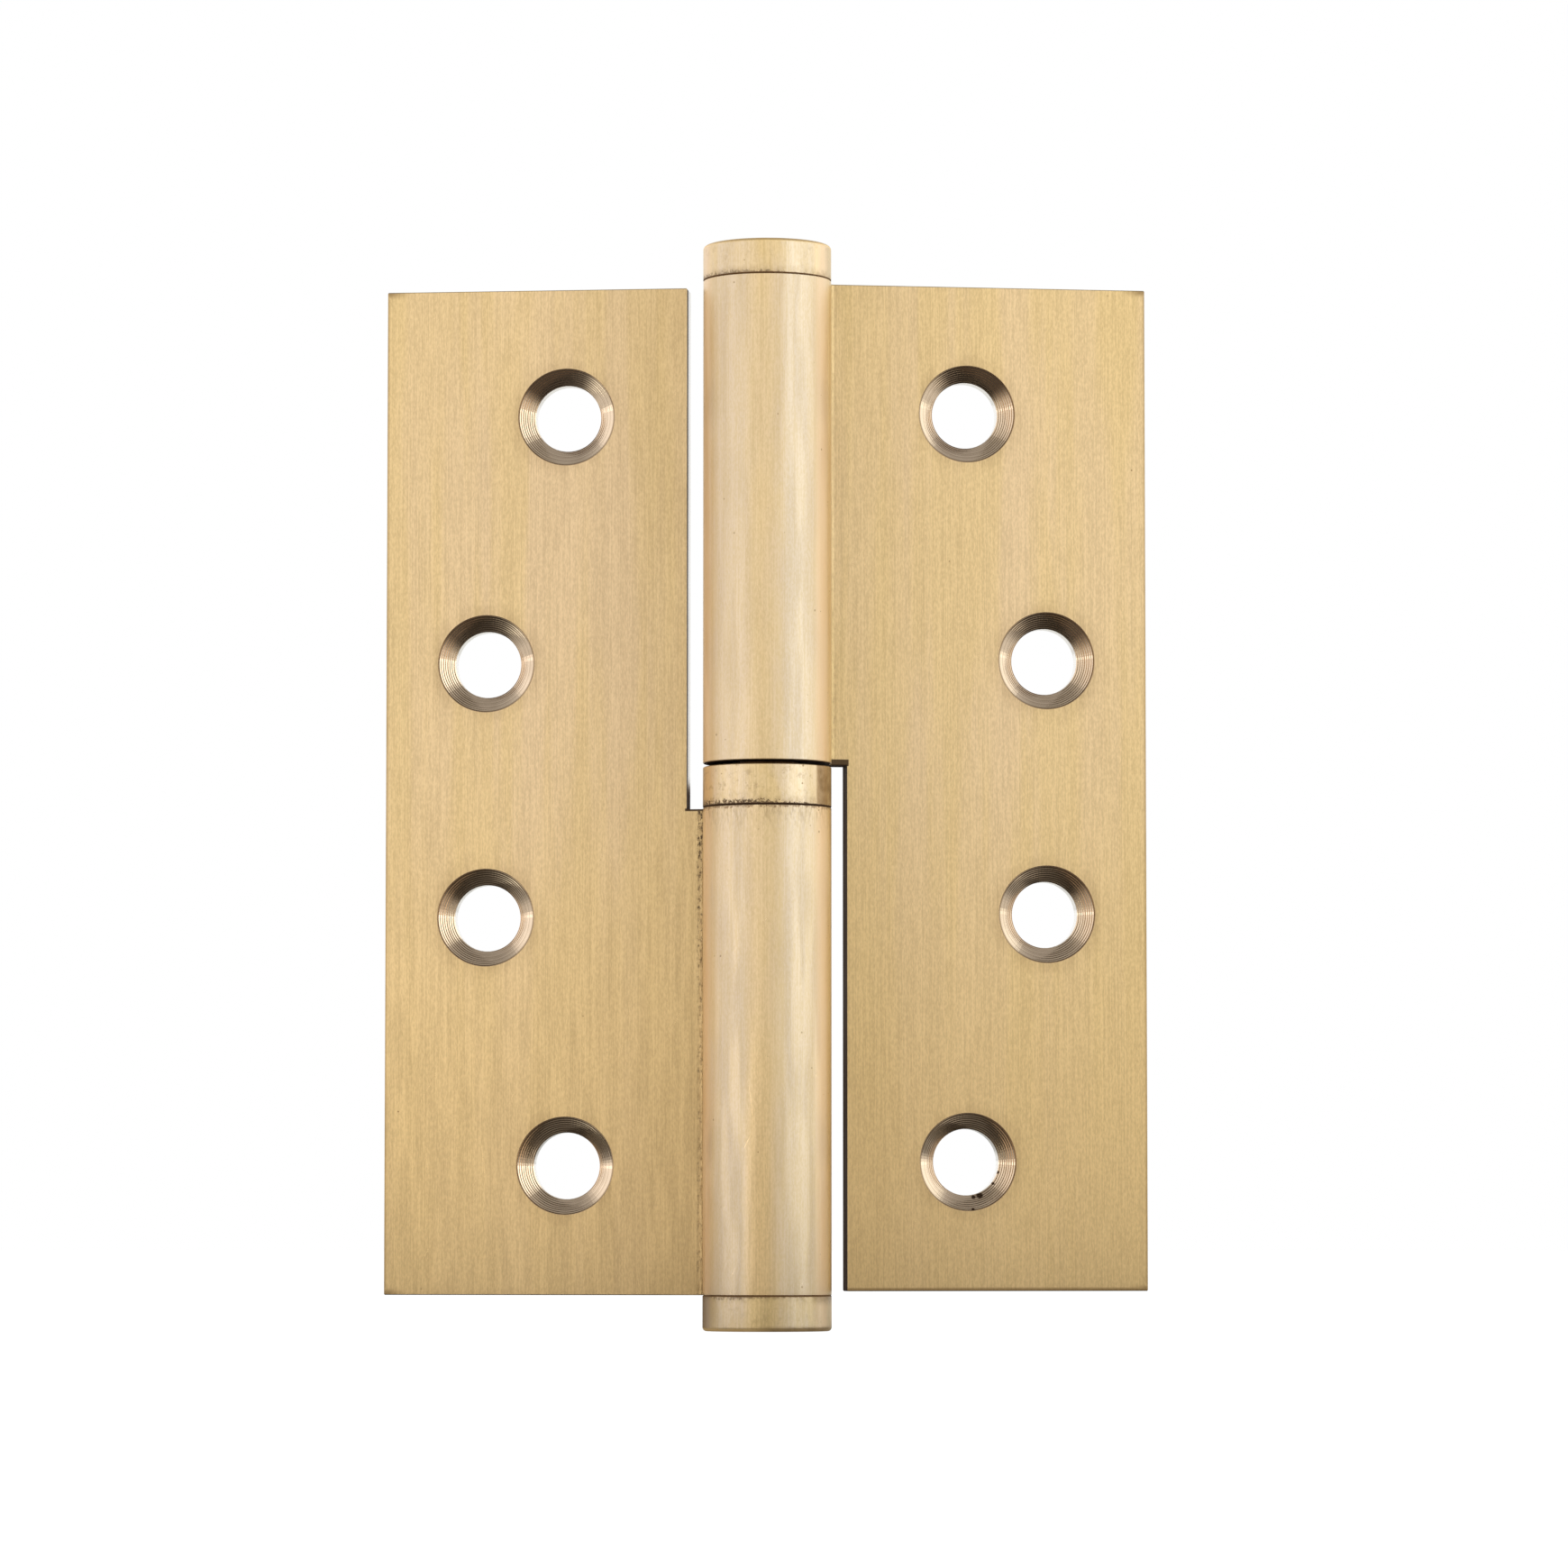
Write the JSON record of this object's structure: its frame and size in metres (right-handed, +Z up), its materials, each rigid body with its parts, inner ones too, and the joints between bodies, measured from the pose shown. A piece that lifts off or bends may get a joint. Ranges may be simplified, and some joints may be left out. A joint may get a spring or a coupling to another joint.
{
  "type": "lift-off hinge",
  "caption": "Brass lift-off butt hinge with countersunk flat leaves, half-length knuckles on a fixed pin, a bearing ring between the knuckles and flat button caps on the ends.",
  "frame": {"origin": "midway between the frame leaf's outer pair of screw holes, on its mounting face", "axes": "+Z up along the pin, the way the door leaf lifts off; +Y into the frame that the leaf is screwed to; +X from the frame leaf to the pin"},
  "size_m": [0.0752, 0.0197, 0.1074],
  "materials": {
    "brass": "satin brushed along the pin, lightly waxed",
    "steel": "ground"
  },
  "bodies": {
    "frame_leaf": {"lower_leaf": "brass", "hinge_pin": "steel", "bottom_cap": "brass"},
    "ring": {"bearing_ring": "brass"},
    "door_leaf": {"upper_leaf": "brass", "top_cap": "brass"}
  },
  "joints": [
    {"name": "leaf_swing", "type": "hinge", "parent": "frame_leaf", "child": "ring", "pos_m": [0.02025, -0.004, 0], "axis": [0, 0, -1], "range_deg": [-105.7, 194.3]},
    {"name": "leaf_lift", "type": "slide", "parent": "ring", "child": "door_leaf", "axis": [0, 0, 1], "range_m": [-0.00038, 0.042]}
  ]
}
